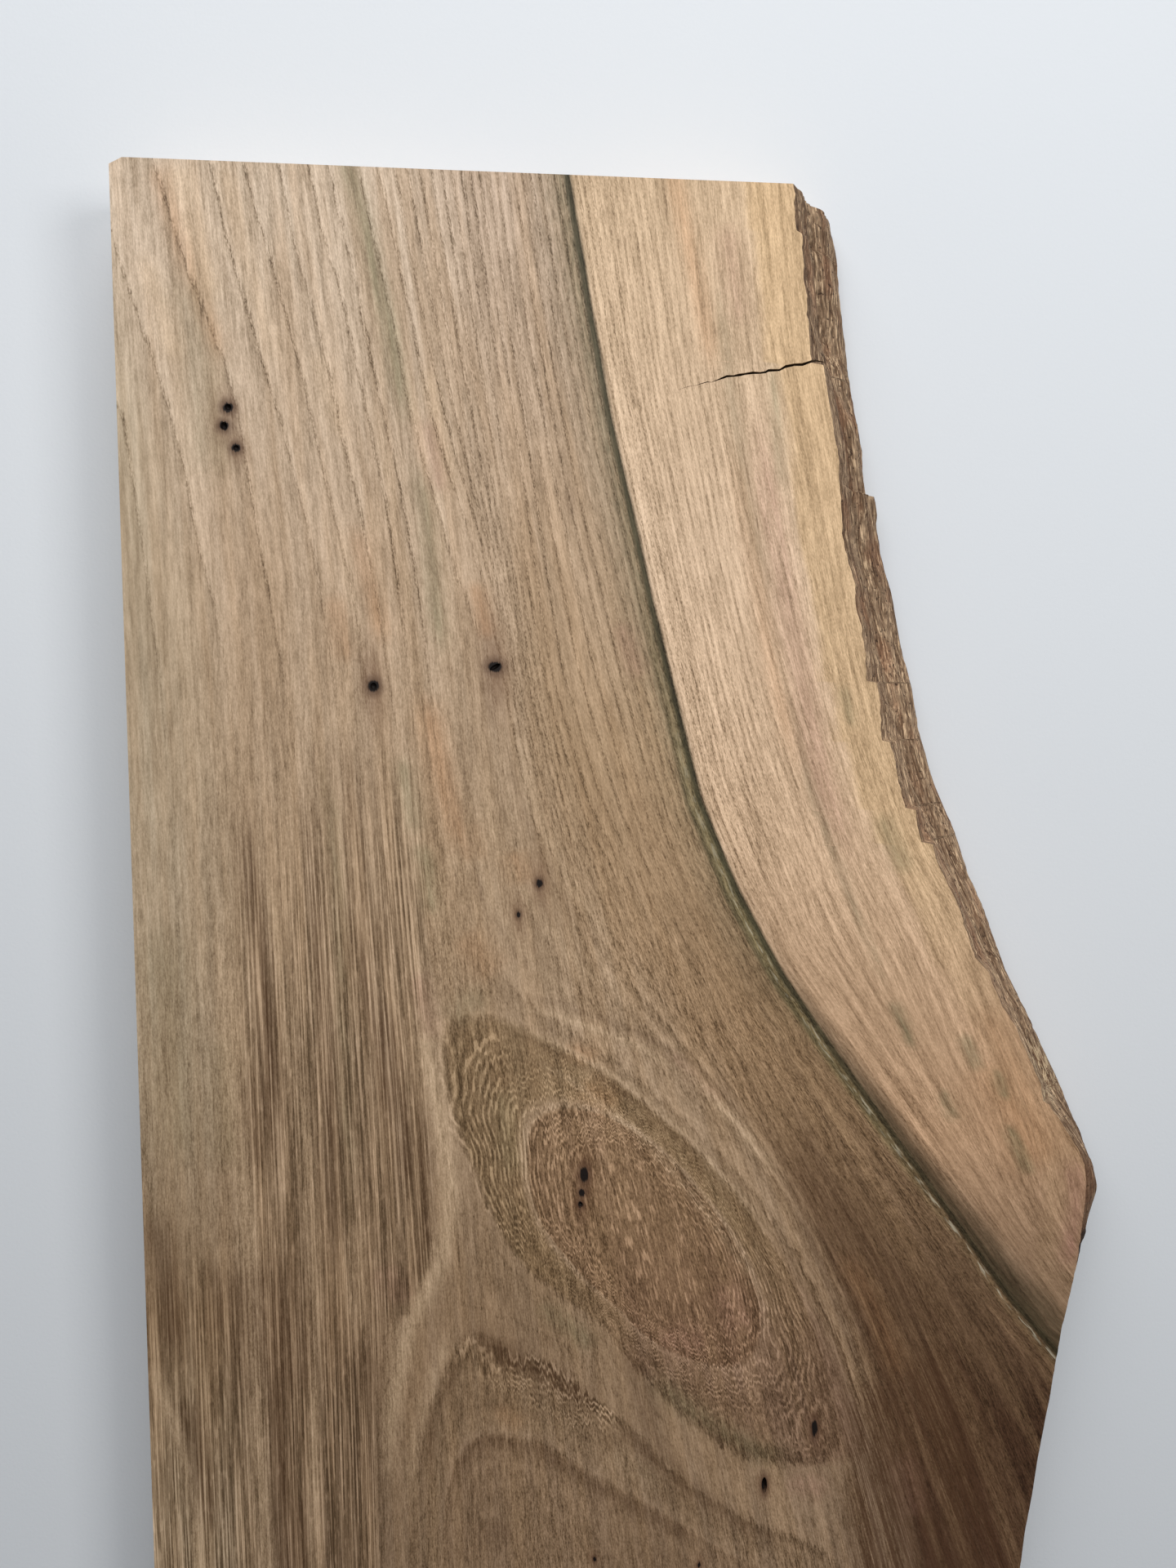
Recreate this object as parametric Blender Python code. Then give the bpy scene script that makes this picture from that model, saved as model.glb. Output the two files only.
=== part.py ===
"""A live-edged offcut of elm board, lying flat on its underside.

Metres, +Z up. +Y points along the board to its crosscut end and +X across it to the live edge.
The origin is the middle of the underside, below the middle of the whole piece.

The outlines below are in millimetres. "Across" counts from the ripped edge towards the live edge,
"along" from the crosscut end down the board, and "depth" from the planed face down.
"""

import math

import bmesh
import bpy
from mathutils import Matrix, Vector, noise

MM = 0.001

LENGTH = 470.0
THICKNESS = 32.0

# Where the planed face ends, from the crosscut end down: (along, across). The jumps are ends of
# layers of bast that broke away. Below the knuckle it is the edge of a rough cut.
FACE_EDGE = (
    (0.0, 199.3), (3.0, 200.0), (7.0, 199.7), (13.6, 200.2), (14.6, 202.0), (24.0, 202.8),
    (28.0, 202.7), (33.0, 203.5), (44.0, 204.5), (52.8, 205.3), (53.4, 209.0), (57.0, 209.5),
    (65.0, 211.0), (70.0, 212.0), (76.0, 213.0), (80.0, 213.8), (91.0, 214.5), (103.0, 215.3),
    (108.0, 216.0), (112.0, 217.0), (120.0, 219.5), (126.0, 219.7), (130.0, 221.0), (135.0, 222.0),
    (141.0, 222.8), (149.7, 223.5), (150.3, 226.6), (157.0, 228.0), (168.3, 228.4), (168.9, 231.0),
    (175.0, 233.0), (180.0, 233.8), (185.0, 235.0), (189.6, 236.2), (190.4, 239.8), (194.0, 240.3),
    (200.6, 241.5), (201.4, 245.2), (209.0, 248.0), (215.0, 251.0), (222.0, 254.5), (230.0, 257.0),
    (238.0, 260.0), (243.0, 264.5), (247.0, 266.0), (254.5, 269.5), (261.0, 274.0), (265.0, 275.5),
    (272.0, 279.0), (281.0, 283.0), (286.0, 283.6), (287.2, 285.6), (294.0, 290.5), (298.0, 293.0),
    (303.0, 296.4), (308.0, 298.2), (313.0, 298.9), (320.0, 298.8), (327.0, 298.0), (335.0, 297.0),
    (342.0, 296.2), (352.0, 294.0), (363.0, 291.5), (375.0, 289.5), (385.0, 288.0), (396.0, 286.0),
    (407.0, 284.0), (420.0, 282.2), (432.0, 280.0), (444.0, 278.6), (457.0, 276.8), (470.0, 275.0),
)

# Where the live edge reaches the underside: (along, across).
FLOOR_EDGE = (
    (0.0, 220.2), (9.0, 222.7), (20.0, 223.8), (35.0, 225.8), (47.0, 227.0), (57.0, 229.0),
    (68.0, 230.7), (88.7, 232.6), (89.3, 236.1), (98.0, 237.4), (108.0, 239.0), (120.0, 243.0),
    (142.0, 247.4), (151.5, 250.5), (164.6, 252.6), (182.0, 257.7), (199.5, 265.5), (216.0, 271.0),
    (230.0, 277.2), (248.5, 283.7), (262.6, 291.0), (275.0, 297.4), (285.5, 302.6), (299.7, 308.4),
    (308.0, 311.4), (318.0, 312.8), (330.0, 310.8), (342.0, 305.0), (352.0, 297.5), (360.0, 292.4),
)
# Both ends of the jump in that line, which the columns of points have to catch.
FLOOR_STEP = (88.7, 89.3)
KNUCKLE = 317.0
LIVE_END = 360.0

# How far out the live edge has come at each share of the depth: steep below the face, then a
# ledge where the outer bast starts, then steep again.
SLOPE = ((0.0, 0.0), (0.2, 0.22), (0.4, 0.36), (0.52, 0.62), (0.68, 0.82), (1.0, 1.0))
# The same at the knuckle, where the face rounds over before the bark.
KNUCKLE_SLOPE = ((0.0, 0.0), (0.04, 0.2), (0.12, 0.41), (0.3, 0.6), (0.6, 0.8), (1.0, 1.0))
KNUCKLE_REACH = 36.0
LEDGE_WANDER = 0.07
LEDGE_WAVE = 55.0

# A broken layer's step shows at the face and is gone by this share of the depth.
STEP_DEPTH = 0.32
STEP_BLEND = 12.0

# The torn fibres of the bast: lengths along the board and down the side, and how far they stand.
FIBRE_LENGTH = 17.0
FIBRE_HEIGHT = 3.4
FIBRE_RELIEF = 0.9
CUT_RELIEF = 0.45

# Hollows in the bast: (along, depth, half length, half height, how deep).
HOLLOWS = (
    (10.0, 7.5, 3.0, 2.5, 1.4),
    (12.5, 14.0, 4.0, 2.6, 1.8),
    (31.0, 15.0, 5.0, 2.6, 2.2),
    (42.0, 16.0, 5.0, 3.2, 3.0),
    (61.0, 19.0, 3.5, 2.8, 1.6),
    (152.0, 5.0, 4.0, 3.0, 1.5),
    (198.0, 6.0, 4.0, 3.0, 1.6),
    (278.0, 15.0, 13.0, 4.0, 2.4),
)

LEVELS = (0.0, 1.2, 3.2, 6.0, 9.0, 12.0, 14.5, 17.0, 20.0, 23.0, 26.5, 30.0, 32.0)
STATION_GAP = 3.0
CUT_STATION_GAP = 6.0

# The chip off the corner between the ripped edge and the crosscut end.
CHIP_ALONG = 2.0
CHIP_ACROSS = 3.7
CHIP_DEPTH = 9.0
CORNER_WEAR = 0.3

# The check in from the live edge: (across, along, half width, depth).
CHECK = (
    (171.0, 59.4, 0.07, 3.0),
    (175.0, 58.5, 0.12, 4.0),
    (180.0, 57.1, 0.18, 5.5),
    (190.0, 56.0, 0.28, 7.5),
    (195.0, 55.2, 0.34, 8.0),
    (198.0, 53.8, 0.40, 8.5),
    (205.0, 52.5, 0.42, 9.0),
    (207.5, 51.3, 0.45, 9.0),
    (214.0, 49.8, 0.50, 9.0),
)
CHECK_RISE = 1.0
CHECK_TAPER = 0.2

# Small holes in the face at the knots: (across, along, half width, half length, depth, turn in
# degrees).
PITS = (
    (31.3, 69.4, 1.0, 1.0, 1.3, 0.0),
    (30.0, 74.8, 1.0, 1.2, 1.4, 0.0),
    (33.3, 81.0, 0.9, 0.8, 0.9, 0.0),
    (107.8, 144.9, 0.7, 1.8, 1.5, -60.0),
    (132.4, 312.6, 0.7, 0.9, 0.9, 0.0),
    (191.4, 408.8, 0.9, 2.7, 2.4, 0.0),
)
PIT_LIFT = 0.15
PIT_SEGMENTS = 12
PIT_RINGS = 8

SHARP_ANGLE = math.radians(42.0)

ELM_COLOUR = (0.46, 0.29, 0.16, 1.0)
ELM_ROUGHNESS = 0.62


def clear_scene():
    for old in list(bpy.data.objects):
        bpy.data.objects.remove(old, do_unlink=True)


def read_curve(points, at):
    """The value at a place on a curve given as (place, value) points."""
    if at <= points[0][0]:
        return points[0][1]
    for (a, low), (b, high) in zip(points, points[1:]):
        if at <= b:
            return low + (high - low) * (at - a) / (b - a)
    return points[-1][1]


def stations():
    """Places along the live side that get a column of points: the outline's own and some between."""
    marks = sorted({along for along, _ in FACE_EDGE} | set(FLOOR_STEP))
    found = []
    for start, end in zip(marks, marks[1:]):
        gap = STATION_GAP if start < LIVE_END else CUT_STATION_GAP
        parts = max(1, math.ceil((end - start) / gap))
        found.extend(start + (end - start) * i / parts for i in range(parts))
    found.append(marks[-1])
    return found


def unbroken_edge(along):
    """The face's edge with the jumps of the broken layers smoothed away."""
    spots = [along + STEP_BLEND * i / 6.0 for i in range(-6, 7)]
    return sum(read_curve(FACE_EDGE, min(max(s, 0.0), LENGTH)) for s in spots) / len(spots)


def slope_at(along, share):
    """How far out the live side has come at a share of the depth, from 0 to 1."""
    drift = LEDGE_WANDER * noise.noise(Vector((along / LEDGE_WAVE, 0.0, 4.0)))
    plain = read_curve(SLOPE, min(max(share + drift * math.sin(math.pi * share), 0.0), 1.0))
    near = max(0.0, 1.0 - abs(along - KNUCKLE) / KNUCKLE_REACH)
    return plain + (read_curve(KNUCKLE_SLOPE, share) - plain) * near


def fibre(along, depth, relief):
    """Ridges and tears that run with the fibres, longer along the board than down the side."""
    coarse = noise.noise(Vector((along / FIBRE_LENGTH, depth / FIBRE_HEIGHT, 0.0)))
    fine = noise.noise(Vector((along / (0.35 * FIBRE_LENGTH), depth / (0.6 * FIBRE_HEIGHT), 7.0)))
    return relief * (coarse + 0.5 * fine)


def side_at(along, depth):
    """How far across the live side is, at a place along the board and a depth."""
    edge = read_curve(FACE_EDGE, along)
    if along >= LIVE_END:
        return edge + fibre(along, depth, CUT_RELIEF)
    share = depth / THICKNESS
    whole = unbroken_edge(along)
    step = (edge - whole) * max(0.0, 1.0 - share / STEP_DEPTH)
    across = whole + (read_curve(FLOOR_EDGE, along) - whole) * slope_at(along, share) + step
    inner = math.sin(math.pi * share) ** 0.5 if 0.0 < share < 1.0 else 0.0
    across += inner * fibre(along, depth, FIBRE_RELIEF)
    for place, down, half_length, half_height, deep in HOLLOWS:
        far = ((along - place) / half_length) ** 2 + ((depth - down) / half_height) ** 2
        across -= inner * deep * math.exp(-far)
    return across


def level_outline(depth, places):
    """The piece's outline at one depth, as (across, along) points."""
    chipped = max(0.0, 1.0 - depth / CHIP_DEPTH)
    points = [
        (0.0, CORNER_WEAR + (CHIP_ALONG - CORNER_WEAR) * chipped),
        (CORNER_WEAR + (CHIP_ACROSS - CORNER_WEAR) * chipped, 0.0),
    ]
    points.extend((side_at(along, depth), along) for along in places)
    points.append((0.0, LENGTH))
    return points


def new_mesh(name, bm):
    bmesh.ops.recalc_face_normals(bm, faces=bm.faces)
    mesh = bpy.data.meshes.new(name)
    bm.to_mesh(mesh)
    bm.free()
    return mesh


def board_mesh():
    """The sawn piece: its outline at each level joined to the next, and closed top and bottom."""
    places = stations()
    bm = bmesh.new()
    rings = []
    for depth in LEVELS:
        height = THICKNESS - depth
        outline = level_outline(depth, places)
        rings.append([bm.verts.new((x * MM, -y * MM, height * MM)) for x, y in outline])
    for upper, lower in zip(rings, rings[1:]):
        count = len(upper)
        for i in range(count):
            j = (i + 1) % count
            side = bm.faces.new((upper[i], upper[j], lower[j], lower[i]))
            side.smooth = 2 <= i < count - 2
    bm.faces.new(rings[0])
    bm.faces.new(rings[-1])

    low = Vector([min(v.co[i] for v in bm.verts) for i in range(3)])
    high = Vector([max(v.co[i] for v in bm.verts) for i in range(3)])
    centre = (low + high) / 2.0
    shift = Vector((-centre.x, -centre.y, -low.z))
    bmesh.ops.translate(bm, vec=shift, verts=bm.verts)
    return new_mesh("elm_offcut", bm), shift


def check_cutter(shift):
    """A thin wedge that follows the check, widest at the live edge."""
    bm = bmesh.new()
    rings = []
    for across, along, half, deep in CHECK:
        top = (THICKNESS + CHECK_RISE) * MM
        bottom = (THICKNESS - deep) * MM
        narrow = half * CHECK_TAPER
        corners = (
            (across, along - half, top),
            (across, along + half, top),
            (across, along + narrow, bottom),
            (across, along - narrow, bottom),
        )
        rings.append([bm.verts.new(Vector((x * MM, -y * MM, z)) + shift) for x, y, z in corners])
    for first, second in zip(rings, rings[1:]):
        for i in range(4):
            j = (i + 1) % 4
            bm.faces.new((first[i], first[j], second[j], second[i]))
    bm.faces.new(rings[0])
    bm.faces.new(rings[-1])
    return new_mesh("check_cutter", bm)


def pit_cutter(name, pit, shift):
    """A small ball, stretched to the hole's size, with its middle just above the face."""
    across, along, half_width, half_length, deep, turn = pit
    size = Matrix.Diagonal((half_width * MM, half_length * MM, (deep + PIT_LIFT) * MM, 1.0))
    place = Vector((across * MM, -along * MM, (THICKNESS + PIT_LIFT) * MM)) + shift
    bm = bmesh.new()
    bmesh.ops.create_uvsphere(
        bm,
        u_segments=PIT_SEGMENTS,
        v_segments=PIT_RINGS,
        radius=1.0,
        matrix=Matrix.Translation(place) @ Matrix.Rotation(math.radians(turn), 4, "Z") @ size,
    )
    return new_mesh(name, bm)


def elm_material():
    material = bpy.data.materials.new("elm")
    material.use_nodes = True
    shader = material.node_tree.nodes["Principled BSDF"]
    shader.inputs["Base Color"].default_value = ELM_COLOUR
    shader.inputs["Roughness"].default_value = ELM_ROUGHNESS
    shader.inputs["Metallic"].default_value = 0.0
    return material


def new_collection(name):
    collection = bpy.data.collections.new(name)
    bpy.context.scene.collection.children.link(collection)
    return collection


def add_cut(board, mesh, cutters):
    """Cut a shape out of the board and keep the cutter out of sight."""
    cutter = bpy.data.objects.new(mesh.name, mesh)
    cutters.objects.link(cutter)
    cutter.hide_render = True
    cutter.display_type = "WIRE"
    cut = board.modifiers.new(mesh.name, "BOOLEAN")
    cut.operation = "DIFFERENCE"
    cut.solver = "EXACT"
    cut.object = cutter


def main():
    clear_scene()
    parts = new_collection("elm_offcut")
    cutters = new_collection("cutters")

    mesh, shift = board_mesh()
    mesh.set_sharp_from_angle(angle=SHARP_ANGLE)
    mesh.materials.append(elm_material())
    board = bpy.data.objects.new("elm_offcut", mesh)
    parts.objects.link(board)

    add_cut(board, check_cutter(shift), cutters)
    for number, pit in enumerate(PITS, start=1):
        add_cut(board, pit_cutter(f"pit_cutter_{number}", pit, shift), cutters)


main()
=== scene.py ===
import math

import bmesh
import bpy
import numpy as np
from mathutils import Matrix, Vector, noise


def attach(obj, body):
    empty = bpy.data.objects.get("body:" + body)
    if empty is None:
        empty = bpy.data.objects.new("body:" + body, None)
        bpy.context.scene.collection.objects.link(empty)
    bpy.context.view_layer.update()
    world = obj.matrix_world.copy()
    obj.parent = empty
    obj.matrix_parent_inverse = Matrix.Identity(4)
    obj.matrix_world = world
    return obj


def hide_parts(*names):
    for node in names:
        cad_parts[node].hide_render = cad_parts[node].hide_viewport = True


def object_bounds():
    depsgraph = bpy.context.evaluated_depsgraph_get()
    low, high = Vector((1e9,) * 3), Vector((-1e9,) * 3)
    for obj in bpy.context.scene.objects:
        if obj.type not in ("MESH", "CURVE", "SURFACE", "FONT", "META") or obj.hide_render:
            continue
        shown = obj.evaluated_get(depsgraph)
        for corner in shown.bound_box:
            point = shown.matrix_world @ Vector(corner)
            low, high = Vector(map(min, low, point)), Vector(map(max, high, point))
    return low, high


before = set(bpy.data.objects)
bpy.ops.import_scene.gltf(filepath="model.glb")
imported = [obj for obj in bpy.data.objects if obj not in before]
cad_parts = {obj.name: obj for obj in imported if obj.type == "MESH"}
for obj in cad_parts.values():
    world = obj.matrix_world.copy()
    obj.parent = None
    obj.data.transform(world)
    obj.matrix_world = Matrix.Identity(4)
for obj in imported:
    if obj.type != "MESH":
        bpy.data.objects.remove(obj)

LOW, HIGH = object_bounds()

MM = 0.001
LENGTH = 470.0
THICKNESS = 32.0

# Places are (across, along): millimetres from the ripped edge, and from the crosscut end.
# A depth counts down from the planed face.

# Where the planed face ends, from the crosscut end down: (along, across).
FACE_EDGE = (
    (0, 199.3), (3, 200), (7, 199.7), (13.6, 200.2), (14.6, 202), (24, 202.8), (28, 202.7), (33, 203.5),
    (44, 204.5), (52.8, 205.3), (53.4, 209), (57, 209.5), (65, 211), (70, 212), (76, 213), (80, 213.8),
    (91, 214.5), (103, 215.3), (108, 216), (112, 217), (120, 219.5), (126, 219.7), (130, 221), (135, 222),
    (141, 222.8), (149.7, 223.5), (150.3, 226.6), (157, 228), (168.3, 228.4), (168.9, 231), (175, 233),
    (180, 233.8), (185, 235), (189.6, 236.2), (190.4, 239.8), (194, 240.3), (200.6, 241.5), (201.4, 245.2),
    (209, 248), (215, 251), (222, 254.5), (230, 257), (238, 260), (243, 264.5), (247, 266), (254.5, 269.5),
    (261, 274), (265, 275.5), (272, 279), (281, 283), (286, 283.6), (287.2, 285.6), (294, 290.5),
    (298, 293), (303, 296.4), (308, 298.2), (313, 298.9), (320, 298.8), (327, 298), (335, 297),
    (342, 296.2), (352, 294), (363, 291.5), (375, 289.5), (385, 288), (396, 286), (407, 284), (420, 282.2),
    (432, 280), (444, 278.6), (457, 276.8), (470, 275),
)
# Where the live edge reaches the underside: (along, across).
FLOOR_EDGE = (
    (0, 220.2), (9, 222.7), (20, 223.8), (35, 225.8), (47, 227), (57, 229), (68, 230.7), (88.7, 232.6),
    (89.3, 236.1), (98, 237.4), (108, 239), (120, 243), (142, 247.4), (151.5, 250.5), (164.6, 252.6),
    (182, 257.7), (199.5, 265.5), (216, 271), (230, 277.2), (248.5, 283.7), (262.6, 291), (275, 297.4),
    (285.5, 302.6), (299.7, 308.4), (308, 311.4), (318, 312.8), (330, 310.8), (342, 305), (352, 297.5),
    (360, 292.4),
)
FLOOR_STEP = (88.7, 89.3)
CROSSCUT_WIDTH = 199.3

# The live edge: how far out it is, as a share of its slope, by the share of the thickness.
SLOPE = ((0, 0), (0.2, 0.22), (0.4, 0.36), (0.52, 0.62), (0.68, 0.82), (1, 1))
KNUCKLE_SLOPE = ((0, 0), (0.04, 0.2), (0.12, 0.41), (0.3, 0.6), (0.6, 0.8), (1, 1))
KNUCKLE = 317.0
KNUCKLE_REACH = 36.0
LIVE_END = 360.0
LEDGE_WANDER = 0.07
LEDGE_WAVE = 55.0
STEP_DEPTH = 0.32
STEP_BLEND = 12.0
EDGE_NICKS = 0.45
CUT_NICKS = 0.35
# Ridges along the fibres: how far they stand out, and how long and high they are.
FIBRE_RELIEF = 0.9
FINE_RELIEF = 0.35
CUT_RELIEF = 0.45
CUT_FINE_RELIEF = 0.1
FIBRE_LENGTH = 17.0
FIBRE_HEIGHT = 3.4
STRAND = (11.0, 1.1)
CRUMB = (2.6, 1.6)
# Hollows in the bast, and lumps on it: (along, depth, half length, half height, how deep).
HOLLOWS = (
    (10, 7.5, 3, 2.5, 1.4),
    (12.5, 14, 4, 2.6, 1.8),
    (31, 15, 5, 2.6, 2.2),
    (42, 16, 5, 3.2, 3),
    (61, 19, 3.5, 2.8, 1.6),
    (152, 5, 4, 3, 1.5),
    (198, 6, 4, 3, 1.6),
    (278, 15, 13, 4, 2.4),
    (332.5, 3, 2, 2.2, -1.3),
    (340, 4, 1.2, 2, -0.9),
)

# The chip off the left corner of the crosscut end.
CHIP_ALONG = 2.0
CHIP_ACROSS = 3.7
CHIP_DEPTH = 9.0
CHIP_REACH = 8.0
CORNER_WEAR = 0.3

# The check in from the live edge: (across, along, half width, depth).
CHECK = (
    (164, 61.7, 0.05, 0.8), (167.5, 60.6, 0.09, 1.5), (169, 60.5, 0.05, 1.5), (171, 59.8, 0.14, 3),
    (173, 59.2, 0.16, 3), (174.2, 59.3, 0.08, 3), (176, 58.6, 0.2, 4), (177.5, 58, 0.36, 5),
    (179, 57.4, 0.4, 5.5), (181, 57.3, 0.3, 6), (183, 56.9, 0.46, 6.5), (184.6, 56.6, 0.34, 7),
    (187, 56.2, 0.44, 7.5), (189.4, 56.2, 0.3, 7.5), (191, 55.9, 0.38, 7.5), (191.8, 55.4, 0.46, 7.5),
    (195.3, 55.2, 0.36, 8), (197.2, 54.1, 0.48, 8.5), (200, 53.5, 0.42, 8.5), (202.4, 53.4, 0.48, 8.8),
    (205, 52.5, 0.4, 9), (207.5, 51.3, 0.45, 9), (214, 49.8, 0.5, 9),
)
CHECK_RISE = 1.0
CHECK_TAPER = 0.2
# Small holes at the knots: (across, along, half width, half length, depth, turn in degrees).
PITS = (
    (31.3, 69.4, 1, 1, 1.3, 0),
    (30, 74.8, 1, 1.2, 1.4, 0),
    (33.3, 81, 0.9, 0.8, 0.9, 0),
    (71.5, 150.5, 1, 1.1, 1.1, 0),
    (107.8, 144.9, 0.7, 1.8, 1.5, -60),
    (132.4, 312.6, 0.7, 0.9, 0.9, 0),
    (191.4, 408.8, 0.9, 2.7, 2.4, 0),
)
PIT_LIFT = 0.15

# How finely the board's skin is divided.
FACE_COLUMNS = 112
FOOT_COLUMNS = 4
LEVELS = [THICKNESS * (i / 30.0) for i in range(31)]
EDGE_LEVELS = 6
ROW_GAP = 1.4
CUT_ROW_GAP = 2.2
SHARP = 38.0

# Which faces are bast.
BAST_STOP = 8.0
BAST_MARGIN = 1.0
SKIN = 0.05

# Lines on the face are written as across, along, across, along and so on.

# The dark line between heartwood and sapwood, and the sapwood's outer side.
HEART = (
    131.5, 0, 138, 39, 143.8, 71, 150, 98, 156.5, 127, 163, 153.5, 171, 186, 183, 215, 197.6, 242,
    215.3, 268, 238.8, 301, 259.4, 330, 274, 350.6, 286, 365,
)
HEART_LINE = (129, -20, *HEART, 305, 388)
SAP_EDGE = (
    199.3, 0, 204.5, 44, 214, 90, 221, 130, 229, 165, 241, 200, 254.5, 222, 266, 247, 283, 281, 299, 308,
    315, 330,
)
# Growth rings: (count of rings, line of the figure on the face that has this count).
RINGS = (
    (-1, 0, 352, 4, 366, 8, 380, 11, 396, 13, 420, 15, 470),
    (0, 2, 75, 6, 110, 10, 150, 12, 200, 14, 260, 17, 320, 20, 380, 24, 470),
    (1, -2, 12, 1, 24, 4, 35, 7, 45, 10, 55, 12.5, 63, 15, 72, 18, 85, 21, 105, 24, 118, 28, 140, 31, 170,
        33, 210, 32, 260, 31, 300, 32, 340, 34, 380, 36, 470),
    (2, 12, 0, 16, 14, 19, 24, 23, 36, 27, 46, 31, 57, 34, 70, 36, 85, 38, 100, 41, 120, 45, 145, 48, 170,
        51, 200, 53, 240, 55, 290, 54, 340, 52, 390, 52, 470),
    (3, 28, 0, 31, 16, 33, 26, 36, 37, 39, 47, 43, 63, 46, 72, 49, 85, 52, 98, 55, 112, 59, 140, 62, 170,
        64, 200, 66, 240, 66, 290, 65, 340, 63, 390, 63, 470),
    (4, 37, 0, 41, 15, 44, 25, 50, 48, 53, 60, 55, 72, 57.5, 84, 60, 95, 64, 112, 68, 135, 71, 160, 73, 185,
        75, 215, 77, 250, 78, 290, 78, 325, 74, 345, 69, 365, 67, 390, 66, 470),
    (5, 47, 0, 51, 22, 54, 35, 58, 50, 60, 60, 63, 76, 68, 98, 72, 120, 75, 140, 78, 165, 80, 190, 82, 220,
        84, 250, 85.5, 285, 86.5, 318, 84, 332, 80, 343, 76, 353, 72, 366, 70.5, 380, 70, 400, 69, 430,
        69, 470),
    (6, 56, 0, 60, 20, 64, 32, 68, 50, 72, 72, 77, 98, 80, 125, 83, 155, 85, 185, 87, 215, 88, 238),
    (7, 61, 0, 64, 15, 67, 28, 69, 42, 73, 60, 77, 78, 81, 98, 85, 122, 88, 150, 91, 180, 95, 208, 100, 226,
        108, 240, 120, 251, 135, 262, 150, 274, 166, 289, 184, 309, 199, 332, 212, 358),
    (8, 70, 0, 73, 14, 76, 28, 80, 45, 83, 65, 87, 82, 92, 100, 96, 122, 99, 145, 103, 172, 108, 198,
        116, 220, 126, 237, 140, 252, 156, 267, 173, 284, 190, 304, 207, 330, 219, 356),
    (10, 80, 0, 84, 20, 88, 42, 92, 62, 97, 82, 103, 102, 108, 122, 112, 142, 115, 160, 119, 180, 125, 202,
         133, 221, 143, 238, 155, 254, 169, 270, 184, 289, 201, 314, 216, 342, 227, 372, 236, 405,
         243, 440),
    (14, 94, 0, 101, 50, 109, 100, 117, 148, 127, 190, 144, 226, 166, 256, 190, 288, 212, 322, 229, 352,
         241, 384, 252, 425, 259, 470),
    (20, 110, 0, 116, 45, 124, 95, 133, 145, 146, 190, 163, 226, 186, 258, 210, 291, 234, 328, 252, 358,
         265, 390, 275, 430, 283, 470),
    (29, *HEART, 300, 384),
    (38.5, 150, 0, 157, 50, 167, 100, 178, 150, 193, 195, 212, 232, 232, 266, 255, 300, 276, 328, 300, 356),
    (47.5, 170, 0, 177, 50, 187, 100, 199, 150, 214, 195, 230, 228, 250, 262, 272, 296, 298, 330),
    (58.5, *SAP_EDGE),
    (5.8, 86, 262, 88, 285, 92, 310, 93, 330, 88, 348, 80, 366, 77, 385, 75, 420, 74, 470),
    (6.2, 104, 322, 112, 338, 125, 352, 138, 365, 150, 377, 162, 392, 178, 404, 196, 411),
    (5, 94, 252, 100, 250, 112, 253.5, 122, 259, 130, 263.5, 145, 274, 158, 286, 172, 299, 181, 310,
        190, 322, 200, 338, 206, 352, 212, 368, 217, 386, 216, 399, 210, 403, 200, 402.5, 190, 401,
        180, 397, 172, 391, 165, 384, 155, 373, 147, 364, 140, 352, 128, 343, 113, 330, 106, 318, 101, 304,
        97, 295, 92, 281, 89, 265, 90, 256, 94, 252),
    (-1.5, 118, 286, 123, 283, 130, 281.5, 138, 283.5, 147, 288, 157, 296, 165, 304.5, 172, 313, 180, 324.5,
           187, 338, 190, 351, 189, 363, 183, 367, 178, 368, 170, 366, 160, 362, 150, 354, 140, 343,
           133, 336, 126, 327, 120, 318, 117, 308, 116, 297, 118, 286),
    (-8, 144, 312, 156, 328, 168, 344),
    (4.5, 79, 470, 79, 430, 81, 405, 83.5, 388, 88, 371, 94, 361, 99, 356.5, 104, 360, 108, 363, 117, 364,
          127, 371, 138, 380, 149, 388, 158, 400, 168, 410, 180, 418, 190, 424, 203, 430),
    (-2, 88, 470, 88, 440, 88.5, 415, 90, 402, 93, 394, 97, 388, 103, 386, 107, 388, 118, 389.5, 125, 395,
         135, 402.5, 150, 411, 162, 419, 172, 427, 180, 432, 192, 440, 200, 452, 206, 470),
    (-4, 105, 440, 125, 435, 145, 446, 160, 470),
    (7, 222, 405, 226, 430, 230, 470),
)
# Rings in a millimetre of wood, the fewest in one of depth, and how far the sides lean out in one.
DEPTH_RATE = 0.5
LEAST_SINK = 0.14
LEAN = 0.55
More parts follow.
